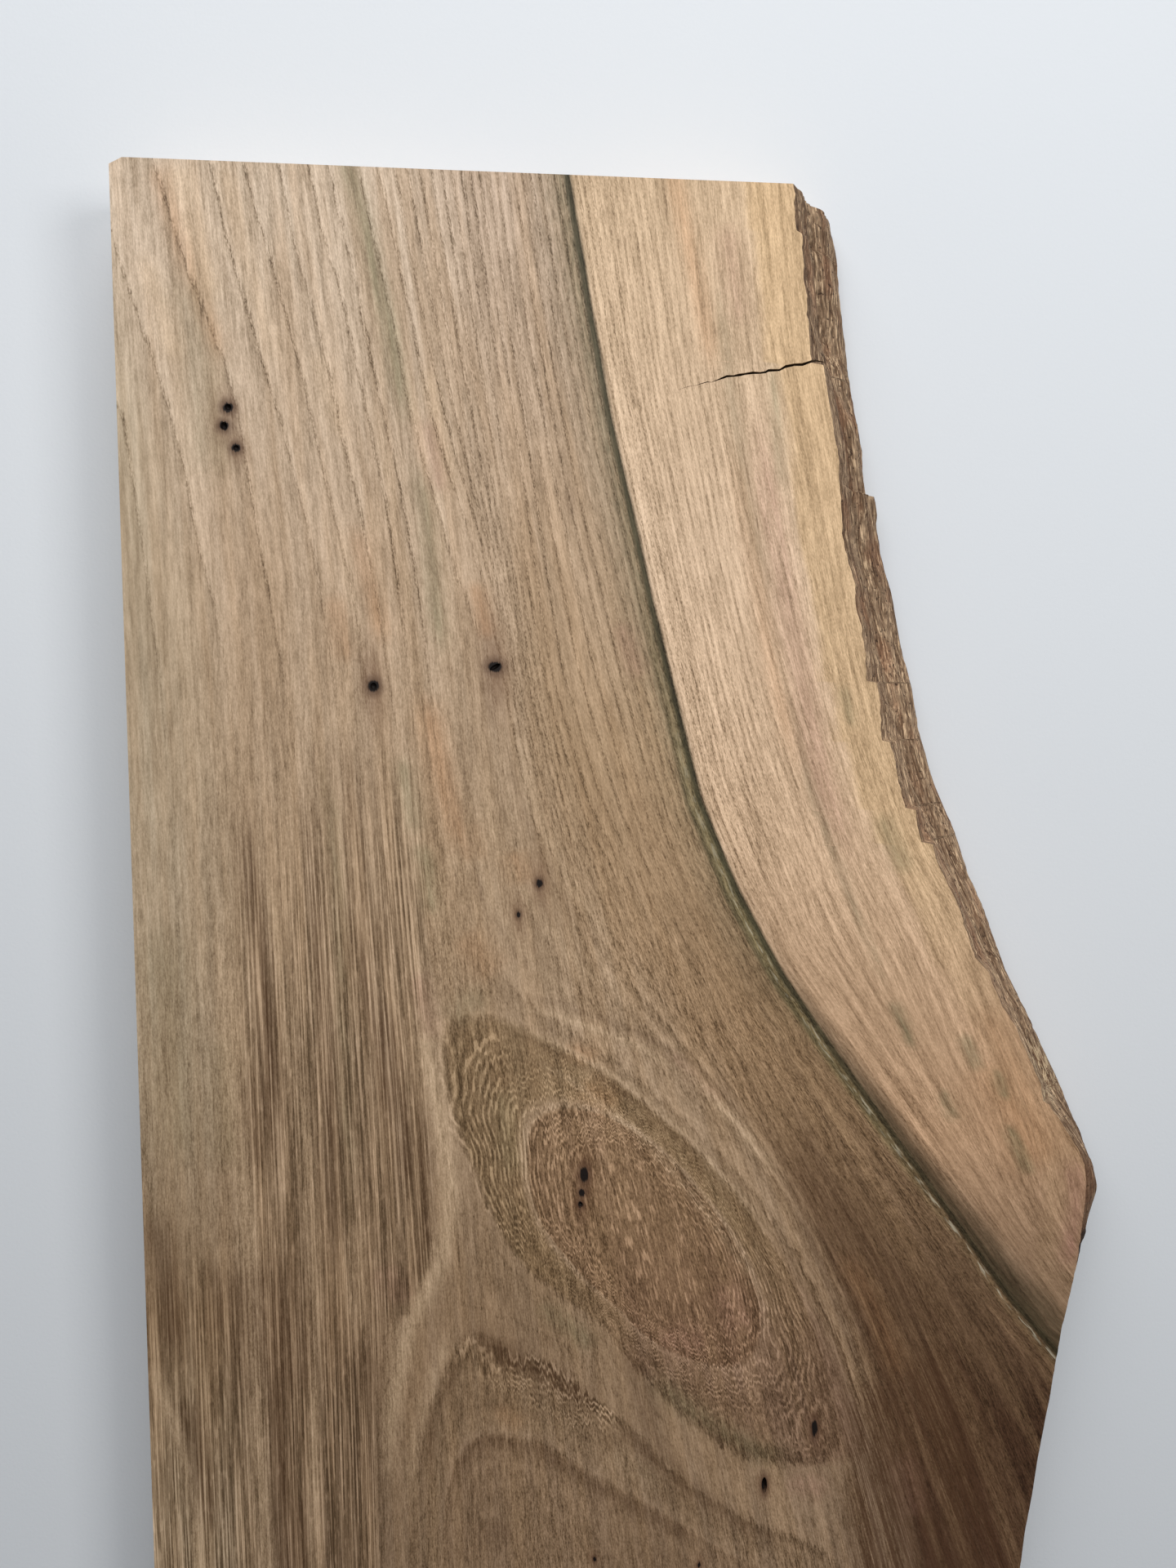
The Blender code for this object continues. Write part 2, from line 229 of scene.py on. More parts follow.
# Fibres that the grain follows: (where the fibre meets the crosscut end, its line).
FIBRES = (
    (0, 0, 0, 3, 100, 5, 200, 6, 300, 7, 400, 8, 470),
    (30, 30, 0, 35, 60, 40, 120, 43, 200, 45, 300, 46, 400, 47, 470),
    (60, 60, 0, 67, 60, 74, 120, 79, 200, 84, 270, 88, 340, 90, 400, 91, 470),
    (85, 85, 0, 93, 60, 101, 120, 107, 180, 114, 240, 122, 300, 130, 360, 137, 420, 143, 470),
    (106, 106, 0, 113, 50, 122, 105, 132, 160, 144, 210, 159, 260, 175, 310, 190, 360, 203, 410, 216, 470),
    (112, 112, 0, 119, 50, 128, 105, 139, 155, 153, 205, 171, 255, 191, 305, 209, 355, 225, 405, 243, 470),
    (118, 118, 0, 125, 50, 134, 100, 145, 150, 160, 200, 181, 250, 206, 300, 229, 348, 249, 395, 270, 450,
          277, 470),
    (121, 214, 300, 236, 341, 257, 385, 277, 435, 287, 465),
    (124, 124, 0, 131, 48, 140, 96, 151, 145, 168, 200, 189, 245, 218, 293, 244, 335, 266, 375, 285, 420,
          298, 460),
    (127.7, 205, 266, 229, 300, 250.5, 330, 263, 350, 279.5, 375, 293, 400, 306, 430),
    (131.5, *HEART, 300, 384, 312, 400, 326, 420),
    (140, 199, 233, 219, 262, 243, 297, 264, 326, 279, 347, 292, 362, 306, 380, 320, 397),
    (165, 165, 0, 172, 60, 183, 115, 197, 165, 213, 210, 232, 250, 252, 290, 272, 325, 292, 355),
    (199.3, *SAP_EDGE),
)
# The lower left side of the island in the figure.
ISLAND_FOOT = (
    86, 240, 89, 265, 92, 281, 97, 295, 101, 304, 106, 318, 113, 330, 128, 343, 140, 352, 147, 364,
    155, 373, 165, 384, 172, 391, 180, 397, 190, 401, 200, 402.5, 210, 403, 222, 402, 250, 410,
)
# How wide the olive band beside the dark line is: (along, width).
BAND_WIDTH = ((0, 2), (200, 3), (245, 5), (300, 7.5), (345, 13), (380, 17))
# Where the stripes at the lower left end: (along, across).
STRIPES_END = ((345, 70), (370, 66), (400, 66), (470, 67))
# Where pale lines follow the rings: (strength, half width, line along the middle).
CURLS = (
    (1, 30, 128, 295, 150, 322, 178, 355),
    (0.9, 13, 98, 265, 101, 295, 108, 322),
    (0.7, 13, 195, 345, 205, 370, 206, 388),
    (0.8, 11, 100, 352, 112, 362, 135, 378),
    (1.3, 5.5, 92, 352, 101, 354, 110, 361, 122, 366, 140, 379),
)

# Soft streaks and patches of each kind: (strength, half width, line along its middle).
STAIN = (
    (0.8, 2.6, 67, 0, 71, 14, 74, 28, 78, 45, 80, 60, 83, 78),
    (0.6, 2.6, 84, 80, 88, 100, 90, 125, 93, 145),
    (0.55, 1.5, 54.5, 163, 58.4, 189, 60, 226, 61, 280, 62, 320),
    (0.6, 2.6, 79, 170, 82, 185, 84, 197),
    (0.9, 2.4, 84, 196, 87, 206, 88, 222),
    (0.5, 4, 92, 254, 98, 247, 106, 246),
    (0.6, 3, 108, 272, 110, 292, 112, 305),
    (0.7, 3.2, 118, 342, 126, 350, 138, 360),
    (0.8, 3.6, 150, 366, 165, 380, 178, 390, 190, 398, 205, 400),
    (0.35, 6, 20, 25, 24, 60, 28, 95),
    (0.4, 7, 8, 215, 10, 260, 12, 300),
    (0.4, 5, 24, 250, 25, 300),
    (0.9, 1.5, 232, 250, 237, 260, 240, 268),
    (0.5, 1, 201, 168, 208, 190, 217, 212, 226, 236, 232, 250),
    (0.8, 1.5, 249, 280, 254, 292),
    (0.8, 1.6, 256, 262, 262, 276),
    (0.8, 1.6, 267, 274, 271, 286),
    (1, 1.8, 271, 292, 280, 312),
    (0.6, 1.6, 215.5, 150, 219, 165),
    (0.5, 1.5, 193, 50, 194.5, 75, 197, 95),
    (0.5, 3, 228, 190, 232, 200, 238, 212),
    (0.3, 2, 175, 22, 180, 60, 187, 100, 194, 130),
)
RUST = (
    (0.6, 3, 14, 5, 19, 22, 25, 42, 31, 60),
    (0.7, 4, 86, 150, 92, 180, 99, 205),
    (0.5, 3, 66, 100, 70, 120, 76, 140),
    (0.5, 3, 60, 122, 64, 145),
    (0.7, 2.4, 102, 118, 106, 138),
    (0.7, 3.5, 112, 200, 116, 212),
    (0.6, 3, 98, 190, 101, 205),
    (0.8, 3, 128, 262, 138, 267),
    (0.6, 4, 132, 274, 144, 283),
    (0.5, 5, 96, 225, 108, 240),
    (0.5, 3, 105, 376, 114, 384),
    (0.5, 3, 163, 0, 170, 30, 176, 60),
    (0.4, 6, 262, 250, 275, 280, 284, 300),
    (0.4, 3, 180, 70, 187, 110, 194, 150, 203, 185),
    (0.5, 4, 215, 330, 228, 352, 238, 380),
    (0.5, 9, 262, 268, 275, 290, 285, 312),
)
MAUVE = (
    (0.7, 2.6, 83, 236, 86, 252, 87, 260),
    (0.5, 6, 176, 340, 184, 358),
    (0.6, 5, 158, 355, 172, 362),
    (0.6, 4, 198, 408, 214, 412),
    (0.6, 4, 70, 328, 78, 342),
    (0.5, 3, 88, 70, 92, 95),
    (0.6, 4, 187, 60, 193, 100, 201, 140, 209, 180, 222, 215),
    (0.4, 4, 178, 10, 184, 45),
    (0.5, 2, 160, 264, 170, 276, 178, 282),
    (0.5, 5, 236, 400, 245, 425),
    (0.5, 3, 146, 130, 152, 150),
    (0.9, 3.2, 293, 303, 296, 316, 295, 330, 292, 345),
)
DEEP = (
    (1, 15, 236, 352, 250, 392, 262, 430, 268, 470),
    (0.7, 11, 222, 330, 240, 385, 246, 440, 248, 470),
    (0.5, 9, 212, 330, 222, 360, 228, 400),
    (0.6, 9, 192, 285, 214, 320, 236, 345, 262, 372),
    (0.8, 3, 32, 178, 34, 205, 37, 232, 38, 262, 39, 300),
    (0.7, 2.2, 50, 172, 52, 205, 54, 236, 56, 262, 56, 300, 56, 340),
    (0.8, 2, 66.5, 218, 68.5, 240, 72, 265, 74, 292),
    (0.9, 2.8, 72, 240, 76, 275, 79, 310),
    (0.6, 2, 82, 270, 84, 300, 84, 322, 79, 340),
    (1, 3.6, 3, 305, 6, 325, 8, 345, 9, 356),
    (0.7, 4, 10, 362, 14, 385, 18, 415),
    (0.6, 3, 20, 322, 20, 350),
    (0.7, 3.2, 36, 345, 38, 380, 40, 440),
    (0.6, 3, 32, 262, 33, 300),
    (0.3, 4, 66, 345, 67, 375, 66, 410),
    (0.5, 3, 43, 395, 45, 440),
    (0.8, 4, 92, 352, 101, 354, 110, 361, 122, 367, 140, 381),
    (0.6, 2, 83, 400, 85, 382, 90, 368, 97, 358),
    (0.6, 2.2, 89, 412, 91, 400, 97, 389, 104, 387, 118, 391, 135, 404, 162, 421, 180, 434),
    (0.6, 2.2, 140, 381, 150, 392, 160, 403, 172, 413, 188, 424, 205, 432),
    (0.5, 3, 144, 356, 150, 372, 156, 388),
    (1.3, 11, 226, 366, 228, 400, 234, 455),
    (0.55, 15, 28, 322, 38, 348, 42, 372),
    (0.3, 8, 4, 325, 8, 345, 10, 360),
    (0.5, 2.4, 205, 350, 210, 370, 212, 388),
    (0.45, 1.3, 104, 254.5, 120, 261, 136, 270, 152, 282, 168, 297, 184, 318, 198, 340),
    (0.45, 1.2, 108, 244, 128, 249, 152, 259, 172, 272, 191, 292, 207, 314),
    (0.5, 1.6, 144, 355, 149, 373, 156, 391, 168, 407, 188, 422),
    (0.5, 1, 81, 262, 83.5, 275, 85.5, 292, 86.5, 312, 84, 328, 79, 339),
    (0.5, 5, 125, 440, 175, 450, 220, 465),
    (0.25, 1.6, 175, 22, 180, 60, 187, 100, 194, 130, 198, 148),
    (0.3, 1.2, 198, 148, 204, 175, 212, 200, 224, 232),
    (0.3, 1.2, 92, 168, 97, 192, 103, 214, 114, 233, 130, 247),
    (0.3, 1, 110, 168, 117, 193, 128, 217, 144, 238),
    (0.5, 4, 100, 415, 110, 420),
    (0.3, 1.4, 130.6, 92, 131.4, 101),
    (0.3, 9, 60, 160, 67, 200, 71, 240),
    (0.5, 7, 201, 296, 207, 318, 213.5, 344, 220, 375, 225, 406, 229, 440),
)
PALE = (
    (0.8, 2.6, 25, 204, 26.7, 235, 28.6, 275, 30.1, 305, 32, 338, 32.5, 378, 34, 421, 35, 460),
    (0.7, 1.7, 47.5, 250, 48.2, 276, 49.3, 315, 49.7, 355, 49, 400, 48.8, 440),
    (0.6, 1.2, 37.4, 192, 41, 226, 44.3, 251, 46, 280),
    (0.6, 1.6, 63, 310, 62, 350),
    (1, 1.6, 0, 352, 4, 364, 8, 377, 11, 392, 13, 410, 15, 445),
    (1.1, 2.4, 80, 238, 83, 247, 85, 260, 87.5, 271, 90, 288, 91.7, 303, 91.5, 315, 88.5, 329, 83, 340,
               78, 351, 74, 368, 71.5, 385, 70, 410),
    (0.8, 1, 102, 251, 116, 257, 132, 265, 149, 276, 166, 292, 183, 312, 198, 333),
    (0.7, 0.9, 105, 248, 125, 252, 149, 262, 169, 274.5, 188, 295, 203, 316),
    (0.6, 0.9, 112, 262, 130, 273, 150, 290, 168, 311, 184, 334, 196, 356),
    (0.5, 1.2, 160, 268, 180, 287, 200, 312),
    (0.6, 1.2, 95, 170, 99, 195, 106, 218, 118, 236, 134, 250),
    (0.6, 1, 101, 168, 107, 195, 117, 217, 132, 236, 150, 253),
    (0.5, 1.4, 113, 165, 121, 192, 133, 216, 149, 238),
    (0.5, 2.4, 87, 203, 91, 225, 95, 245),
    (0.5, 1.4, 84, 60, 90, 95, 95, 125, 97, 150),
    (0.5, 1.2, 72, 60, 78, 95, 83, 125, 86, 150),
    (0.4, 1.8, 62, 100, 66, 125, 69, 145),
    (0.6, 1.6, 77, 410, 79, 390, 83.5, 373, 88.5, 359, 93.4, 347),
    (0.4, 4, 140, 392, 160, 408),
    (0.6, 3, 8, 25, 13, 42, 17, 60),
    (0.7, 3.5, 20, 5, 24, 25, 28, 42),
    (0.5, 3, 33, 5, 37, 25, 42, 45, 46, 62),
    (0.5, 2.5, 56, 50, 60, 66, 64, 80),
    (0.4, 6, 14, 100, 17, 150, 18, 200),
    (0.6, 2.4, 74, 362, 76, 350, 81, 345),
    (0.5, 2.4, 71, 400, 73, 372),
    (0.6, 2, 88, 54, 92, 72, 97, 96),
)
STREAKS = {"stain": STAIN, "rust": RUST, "mauve": MAUVE, "deep": DEEP, "pale": PALE}

# Knots: (across, along, half width and half length of the core, how far the stain runs along the grain).
KNOTS = (
    (31.3, 69.5, 1.5, 1.4, 5),
    (30, 74.8, 1.4, 1.3, 5),
    (33.3, 81, 1.3, 1.2, 5),
    (71.5, 150.5, 1.7, 1.8, 12),
    (107.8, 144.9, 2.1, 1.7, 15),
    (120.5, 211, 1, 1.3, 8),
    (114, 220.5, 0.7, 1, 6),
    (133.7, 303, 1.3, 2.4, 9),
    (133, 308.8, 1, 1.1, 5),
    (132.4, 312.6, 0.9, 1.1, 5),
    (191.4, 408.8, 0.9, 2.6, 4),
    (208, 391, 0.8, 3, 6),
    (136, 429, 0.5, 0.8, 3),
    (170, 434, 0.5, 0.8, 3),
)

# Colours down the board, as seen on a screen: middle, left side, beside the dark line, sapwood.
BASE_COLOURS = (
    ((0, (198, 175, 150)), (110, (192, 165, 137)), (200, (177, 149, 119)), (345, (152, 124, 96)),
     (470, (145, 119, 94))),
    ((0, (195, 176, 149)), (265, (176, 153, 125)), (340, (147, 120, 91)), (405, (172, 147, 118)),
     (470, (162, 138, 111))),
    ((0, (188, 163, 139)), (170, (176, 146, 113)), (260, (158, 127, 95)), (395, (81, 56, 38)),
     (470, (80, 56, 41))),
    ((0, (195, 166, 133)), (110, (215, 184, 152)), (200, (213, 179, 145)), (295, (200, 161, 126)),
     (350, (153, 123, 97))),
)
# How light the rings of the figure are: (ring count, half of the tone).
RING_TONES = (
    (-10, 0.48), (-2.6, 0.45), (-1.75, 0.38), (-1.55, 0.44), (-1.35, 0.58), (-0.9, 0.56), (-0.4, 0.49),
    (1.5, 0.45), (4.2, 0.44), (4.85, 0.36), (5.03, 0.59), (5.5, 0.54), (6.2, 0.51), (6.9, 0.40),
    (7.1, 0.50), (7.5, 0.60), (8.1, 0.50), (8.6, 0.39), (8.9, 0.50), (9.5, 0.60), (10.2, 0.49),
    (10.7, 0.39), (11.1, 0.52), (12, 0.59), (12.8, 0.46), (13.2, 0.40), (13.6, 0.54), (15, 0.47),
)
SHINE = 0.2
# How far apart the noise is taken for fibres that spread by different amounts.
LAYER_APART = 37.3

FLOOR_HALF = 3.0
FLOOR_DROP = 0.0002

# The camera, fitted to the photo: place in mm, and pitch, yaw and roll in degrees.
CAMERA_PLACE = (98.29, 157.35, -357.79)
CAMERA_TURN = (3.71170997, -5.97373693, -0.4198726)
FOCAL_PIXELS = 1442.0
PHOTO_PIXELS = 1920.0
SENSOR = 36.0


def pairs(points):
    """Numbers written one after the other, as rows of two."""
    return np.array(points, float).reshape(-1, 2)


def read_curve(points, at):
    points = pairs(points)
    return np.interp(at, points[:, 0], points[:, 1])


def smooth_step(low, high, value):
    t = np.clip((value - low) / (high - low), 0, 1)
    return t * t * (3 - 2 * t)


def spread(points, step):
    """Points at even steps along a line."""
    points = pairs(points)
    run = np.concatenate([[0], np.cumsum(np.hypot(*np.diff(points, axis=0).T))])
    count = max(2, int(round(run[-1] / step)) + 1)
    at = np.linspace(0, run[-1], count)
    return np.column_stack([np.interp(at, run, points[:, 0]), np.interp(at, run, points[:, 1])])


def bend(square):
    """How much a point at this squared distance lifts a thin plate."""
    return 0.5 * square * np.log(square + 1e-12)


class Sheet:
    """A smooth field over the face that has each line's value along it."""

    CELL = 2
    SIZE = (170, 242)
    MARGIN = (4, 3)
    STEP = 11
    SLACK = 0.0006

    def __init__(self, lines):
        points = [spread(line, self.STEP) for _, *line in lines]
        values = np.concatenate([np.full(len(p), line[0], float) for p, line in zip(points, lines)])
        points = np.vstack(points) / 100
        count = len(points)
        matrix = np.zeros((count + 3, count + 3))
        matrix[:count, :count] = bend(((points[:, None] - points[None]) ** 2).sum(-1))
        matrix[range(count), range(count)] = self.SLACK
        matrix[:count, count] = matrix[count, :count] = 1
        matrix[:count, count + 1:] = points
        matrix[count + 1:, :count] = points.T
        weights = np.linalg.solve(matrix, np.concatenate([values, np.zeros(3)]))
        x = (np.arange(self.SIZE[0]) - self.MARGIN[0]) * self.CELL / 100
        y = (np.arange(self.SIZE[1]) - self.MARGIN[1]) * self.CELL / 100
        gx, gy = np.meshgrid(x, y)
        self.value = weights[count] + gx * weights[count + 1] + gy * weights[count + 2]
        for (px, py), weight in zip(points, weights):
            self.value += weight * bend((gx - px) ** 2 + (gy - py) ** 2)
        self.fall, self.rise = np.gradient(self.value, self.CELL)

    def read(self, grid, across, along):
        x = np.clip(across / self.CELL + self.MARGIN[0], 0, self.SIZE[0] - 1.001)
        y = np.clip(along / self.CELL + self.MARGIN[1], 0, self.SIZE[1] - 1.001)
        i, j = x.astype(int), y.astype(int)
        u, v = x - i, y - j
        top = grid[j, i] * (1 - u) + grid[j, i + 1] * u
        low = grid[j + 1, i] * (1 - u) + grid[j + 1, i + 1] * u
        return top * (1 - v) + low * v


def line_distance(points, across, along):
    """For each place: its distance from a line, its side (above 0 is right), and how far down the line."""
    points = pairs(points)
    best = np.full(len(across), 1e9)
    side = np.ones(len(across))
    down = np.zeros(len(across))
    runs = np.hypot(*np.diff(points, axis=0).T)
    start = 0
    for (ax, ay), (bx, by), run in zip(points, points[1:], runs):
        dx, dy = bx - ax, by - ay
        t = np.clip(((across - ax) * dx + (along - ay) * dy) / (dx * dx + dy * dy), 0, 1)
        gap_x, gap_y = across - ax - t * dx, along - ay - t * dy
        gap = np.hypot(gap_x, gap_y)
        near = gap < best
        best = np.where(near, gap, best)
        side = np.where(near, np.sign(gap_x * dy - gap_y * dx), side)
        down = np.where(near, (start + t * run) / runs.sum(), down)
        start += run
    return best, side, down


def unbroken_edge(along):
    """The face's edge with the jumps of the broken layers smoothed away."""
    spots = [np.clip(along + STEP_BLEND * i / 6, 0, LENGTH) for i in range(-6, 7)]
    return sum(read_curve(FACE_EDGE, s) for s in spots) / len(spots)


def ridge(along, depth, relief, fine):
    """Ridges, strands and crumbs that run with the fibres."""
    coarse = noise.noise(Vector((along / FIBRE_LENGTH, depth / FIBRE_HEIGHT, 0)))
    small = noise.noise(Vector((along / (0.35 * FIBRE_LENGTH), depth / (0.6 * FIBRE_HEIGHT), 7)))
    strand = noise.noise(Vector((along / STRAND[0], depth / STRAND[1], 3)))
    crumb = noise.noise(Vector((along / CRUMB[0], depth / CRUMB[1], 5)))
    return relief * (coarse + 0.5 * small) + fine * (strand + crumb)


def face_edge(along):
    """The edge of the face with its small nicks."""
    wander = noise.noise(Vector((along / 2.2, 0, 9))) + noise.noise(Vector((along / 6, 0, 11)))
    fade = min(1, along / 6) * min(1, abs(along - KNUCKLE) / 12)
    if along > LIVE_END - 20:
        fade *= CUT_NICKS
    return float(read_curve(FACE_EDGE, along)) + EDGE_NICKS * fade * wander


def side_at(along, depth):
    """How far across the live side is, at a place along the board and a depth."""
    edge = face_edge(along)
    if along >= LIVE_END:
        return edge + ridge(along, depth, CUT_RELIEF, CUT_FINE_RELIEF)
    share = depth / THICKNESS
    whole = float(unbroken_edge(along))
    drift = LEDGE_WANDER * noise.noise(Vector((along / LEDGE_WAVE, 0, 4)))
    shifted = min(max(share + drift * math.sin(math.pi * share), 0), 1)
    out = float(read_curve(SLOPE, shifted))
    near = max(0, 1 - abs(along - KNUCKLE) / KNUCKLE_REACH)
    out += (float(read_curve(KNUCKLE_SLOPE, share)) - out) * near
    step = (edge - whole) * max(0, 1 - share / STEP_DEPTH)
    across = whole + (float(read_curve(FLOOR_EDGE, along)) - whole) * out + step
    inner = math.sin(math.pi * share) ** 0.5 if 0 < share < 1 else 0
    across += inner * ridge(along, depth, FIBRE_RELIEF, FINE_RELIEF)
    for place_along, down, half_length, half_height, deep in HOLLOWS:
        far = ((along - place_along) / half_length) ** 2 + ((depth - down) / half_height) ** 2
        across -= inner * deep * math.exp(-far)
    return across


def place(across, along, depth):
    return (LOW[0] + across * MM, HIGH[1] - along * MM, (THICKNESS - depth) * MM)


def rows():
    """Places along the board that get a row of points: the outline's own and some between."""
    marks = sorted({a for a, _ in FACE_EDGE} | set(FLOOR_STEP))
    found = []
    for start, end in zip(marks, marks[1:]):
        parts = max(1, math.ceil((end - start) / (ROW_GAP if start < LIVE_END else CUT_ROW_GAP)))
        found.extend(start + (end - start) * i / parts for i in range(parts))
    found.append(marks[-1])
    return found


def row_outline(along):
    """Once round the board at one place along it, from the ripped edge over the face."""
    edge = face_edge(along)
    side = [side_at(along, d) for d in LEVELS[1:]]
    foot = side[-1]
    outline = [(edge * i / FACE_COLUMNS, along, 0) for i in range(FACE_COLUMNS + 1)]
    outline += [(s, along, d) for s, d in zip(side, LEVELS[1:])]
    for i in range(1, FOOT_COLUMNS + 1):
        outline.append((foot + (edge - foot) * i / FOOT_COLUMNS, along, THICKNESS))
    for i in range(FACE_COLUMNS - 1, -1, -1):
        outline.append((edge * i / FACE_COLUMNS, along, THICKNESS))
    for i in range(EDGE_LEVELS - 1, 0, -1):
        outline.append((0, along, THICKNESS * i / EDGE_LEVELS))
    return outline


def chipped(across, along, depth):
    """The same place, moved in where the corner's chip has taken the wood away."""
    if along < CHIP_REACH and across < CHIP_REACH:
        share = max(0, 1 - depth / CHIP_DEPTH)
        cut_along = CORNER_WEAR + (CHIP_ALONG - CORNER_WEAR) * share
        cut_across = CORNER_WEAR + (CHIP_ACROSS - CORNER_WEAR) * share
        short = 1 - across / cut_across - along / cut_along
        if short > 0:
            across += short * cut_across / 2
            along += short * cut_along / 2
    return across, along, depth


def to_mesh(name, bm):
    bmesh.ops.recalc_face_normals(bm, faces=bm.faces)
    mesh = bpy.data.meshes.new(name)
    bm.to_mesh(mesh)
    bm.free()
    return mesh


def slab():
    """The dressed board: one skin of rows that each go once round it, and its two ends."""
    bm = bmesh.new()
    made = [[bm.verts.new(place(*chipped(*p))) for p in row_outline(along)] for along in rows()]
    size = len(made[0])
    for one, two in zip(made, made[1:]):
        for i in range(size):
            j = (i + 1) % size
            bm.faces.new((one[i], one[j], two[j], two[i]))
    under = FACE_COLUMNS + len(LEVELS) - 1 + FOOT_COLUMNS
    for ring in (made[0], made[-1]):
        for i in range(FACE_COLUMNS):
            a, b = ring[i], ring[i + 1]
            c, d = ring[under + FACE_COLUMNS - i - 1], ring[under + FACE_COLUMNS - i]
            beside = ring[under + FACE_COLUMNS + 1:] if i == 0 else []
            bm.faces.new([a, b, c, d] + beside)
        bm.faces.new(ring[FACE_COLUMNS:under + 1])
    return to_mesh("elm_slab", bm)


def openings():
    """The check's wedge and the small holes, as one mesh that is cut out of the board."""
    bm = bmesh.new()
    rings = []
    for across, along, half, deep in CHECK:
        low = half * CHECK_TAPER
        corners = (
            (across, along - half, -CHECK_RISE),
            (across, along + half, -CHECK_RISE),
            (across, along + low, deep),
            (across, along - low, deep),
        )
        rings.append([bm.verts.new(place(*c)) for c in corners])
    for first, second in zip(rings, rings[1:]):
        for i in range(4):
            j = (i + 1) % 4
            bm.faces.new((first[i], first[j], second[j], second[i]))
    bm.faces.new(rings[0])
    bm.faces.new(rings[-1])
    for across, along, half_width, half_length, deep, turn in PITS:
        size = Matrix.Diagonal((half_width * MM, half_length * MM, (deep + PIT_LIFT) * MM, 1))
        spot = Vector(place(across, along, -PIT_LIFT))
        turned = Matrix.Rotation(math.radians(turn), 4, "Z")
        bmesh.ops.create_uvsphere(
            bm, u_segments=16, v_segments=10, radius=1,
            matrix=Matrix.Translation(spot) @ turned @ size,
        )
    return to_mesh("openings", bm)


def link(name, data):
    ob = bpy.data.objects.new(name, data)
    bpy.context.scene.collection.objects.link(ob)
    return ob


def cut(mesh, tool):
    whole = link("cutting", mesh)
    knife = link("knife", tool)
    mod = whole.modifiers.new("cut", "BOOLEAN")
    mod.operation = "DIFFERENCE"
    mod.solver = "EXACT"
    mod.object = knife
    deps = bpy.context.evaluated_depsgraph_get()
    made = bpy.data.meshes.new_from_object(whole.evaluated_get(deps), depsgraph=deps)
    bpy.data.objects.remove(whole)
    bpy.data.objects.remove(knife)
    return made


def vectors(items, name):
    values = np.empty(len(items) * 3)
    items.foreach_get(name, values)
    return values.reshape(-1, 3)


def board_places(points):
    """Points of the scene as across, along and depth in mm."""
    return (points[:, 0] - LOW[0]) / MM, (HIGH[1] - points[:, 1]) / MM, THICKNESS - points[:, 2] / MM


def put(mesh, name, values):
    layer = mesh.attributes.new(name, "FLOAT", "POINT")
    layer.data.foreach_set("value", np.asarray(values, np.float32))


